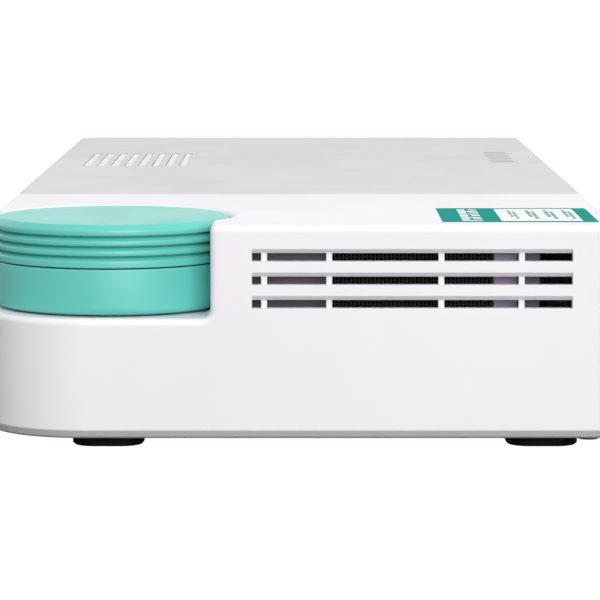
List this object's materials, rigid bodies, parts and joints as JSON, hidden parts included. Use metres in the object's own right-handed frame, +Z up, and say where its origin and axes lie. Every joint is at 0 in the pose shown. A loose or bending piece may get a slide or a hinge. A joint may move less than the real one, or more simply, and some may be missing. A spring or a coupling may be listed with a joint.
{
  "type": "network attached storage",
  "caption": "Flat desktop network storage box with a rounded corner that holds a grooved drum, vented ends, sliding drive trays in front and sockets at the rear.",
  "frame": {"origin": "centre of the footprint, on the surface that the feet stand on", "axes": "+X along the length away from the drum's end, +Y towards the rear long face with the sockets, +Z up"},
  "size_m": [0.29, 0.127, 0.0451],
  "materials": {
    "black_plastic": "matte moulded",
    "black_rubber": "matte",
    "board": "solder resist",
    "brass": "turned",
    "bright_steel": "bright",
    "can_aluminium": "drawn can",
    "chip": "moulded package",
    "clear_plastic": "clear",
    "copper": "enamelled copper winding",
    "dark_teal_plastic": "matte",
    "drive_metal": "cast and painted",
    "grey_frame_plastic": "matte moulded",
    "grey_plastic": "matte moulded",
    "heatsink_aluminium": "extruded",
    "label": "printed film",
    "lamp": "moulded",
    "light_grey_plastic": "fine matte moulded",
    "sheet_steel": "zinc coated sheet",
    "socket_metal": "nickel plated",
    "teal_plastic": "fine satin moulded",
    "white_plastic": "fine matte moulded",
    "zinc_steel": "zinc plated"
  },
  "bodies": {
    "housing": {"upper_shell": "white_plastic", "top_panel": "light_grey_plastic", "base_plate": "grey_plastic", "label_sticker": "label", "feet": "black_rubber", "drum_cap": "teal_plastic", "drum_seam": "dark_teal_plastic", "drum_base": "teal_plastic", "drum_screws": "zinc_steel", "case_screws": "zinc_steel", "blower_frame": "grey_frame_plastic", "blower_cover": "sheet_steel", "blower_pin": "bright_steel", "blower_motor": "copper", "blower_screws": "zinc_steel", "mainboard": "board", "board_standoffs": "brass", "board_screws": "zinc_steel", "processor": "chip", "heatsink": "heatsink_aluminium", "memory_socket": "black_plastic", "memory_module": "board", "cell_holder": "black_plastic", "coin_cell": "bright_steel", "capacitors": "can_aluminium", "power_coils": "chip", "dc_inlet": "black_plastic", "lan_jack_1": "socket_metal", "lan_jack_2": "socket_metal", "usb_rear_port": "socket_metal", "video_port": "socket_metal", "usb_front_port": "socket_metal", "reset_switch": "black_plastic", "front_board": "board", "front_board_screws": "zinc_steel", "power_switch": "black_plastic", "copy_switch": "black_plastic", "light_guides": "clear_plastic", "status_lamps": "lamp", "drive_cage": "sheet_steel", "cage_posts": "brass", "backplane": "board", "backplane_slot": "black_plastic", "sata_connectors": "black_plastic"},
    "tray_1": {"tray_1": "white_plastic", "drive_1": "drive_metal", "drive_screws_1": "zinc_steel", "latch_pin_1": "bright_steel"},
    "latch_1": {"latch_1": "teal_plastic"},
    "tray_2": {"tray_2": "white_plastic", "drive_2": "drive_metal", "drive_screws_2": "zinc_steel", "latch_pin_2": "bright_steel"},
    "latch_2": {"latch_2": "teal_plastic"},
    "blower_rotor": {"blower_rotor": "black_plastic"},
    "power_button": {"power_button": "light_grey_plastic", "power_plunger": "black_plastic"},
    "copy_button": {"copy_button": "light_grey_plastic", "copy_plunger": "black_plastic"},
    "reset_plunger": {"reset_plunger": "black_plastic"}
  },
  "joints": [
    {"name": "tray_1_slide", "type": "slide", "parent": "housing", "child": "tray_1", "axis": [0, -1, 0], "range_m": [0, 0.09]},
    {"name": "latch_1_swing", "type": "hinge", "parent": "tray_1", "child": "latch_1", "pos_m": [-0.055, -0.0618, 0.0323], "axis": [0, 0, -1], "range_deg": [0, 80]},
    {"name": "tray_2_slide", "type": "slide", "parent": "housing", "child": "tray_2", "axis": [0, -1, 0], "range_m": [0, 0.09]},
    {"name": "latch_2_swing", "type": "hinge", "parent": "tray_2", "child": "latch_2", "pos_m": [0.023, -0.0618, 0.0323], "axis": [0, 0, -1], "range_deg": [0, 80]},
    {"name": "blower_spin", "type": "hinge", "parent": "housing", "child": "blower_rotor", "pos_m": [-0.107, -0.019, 0.033], "axis": [0, 0, 1], "continuous": true},
    {"name": "power_press", "type": "slide", "parent": "housing", "child": "power_button", "axis": [0, 1, 0], "range_m": [0, 0.0008], "stiffness_N_per_m": 1200, "springref_m": -0.0006},
    {"name": "copy_press", "type": "slide", "parent": "housing", "child": "copy_button", "axis": [0, 1, 0], "range_m": [0, 0.0008], "stiffness_N_per_m": 1200, "springref_m": -0.0006},
    {"name": "reset_press", "type": "slide", "parent": "housing", "child": "reset_plunger", "axis": [0, -1, 0], "range_m": [0, 0.0006], "stiffness_N_per_m": 1200, "springref_m": -0.0006}
  ]
}
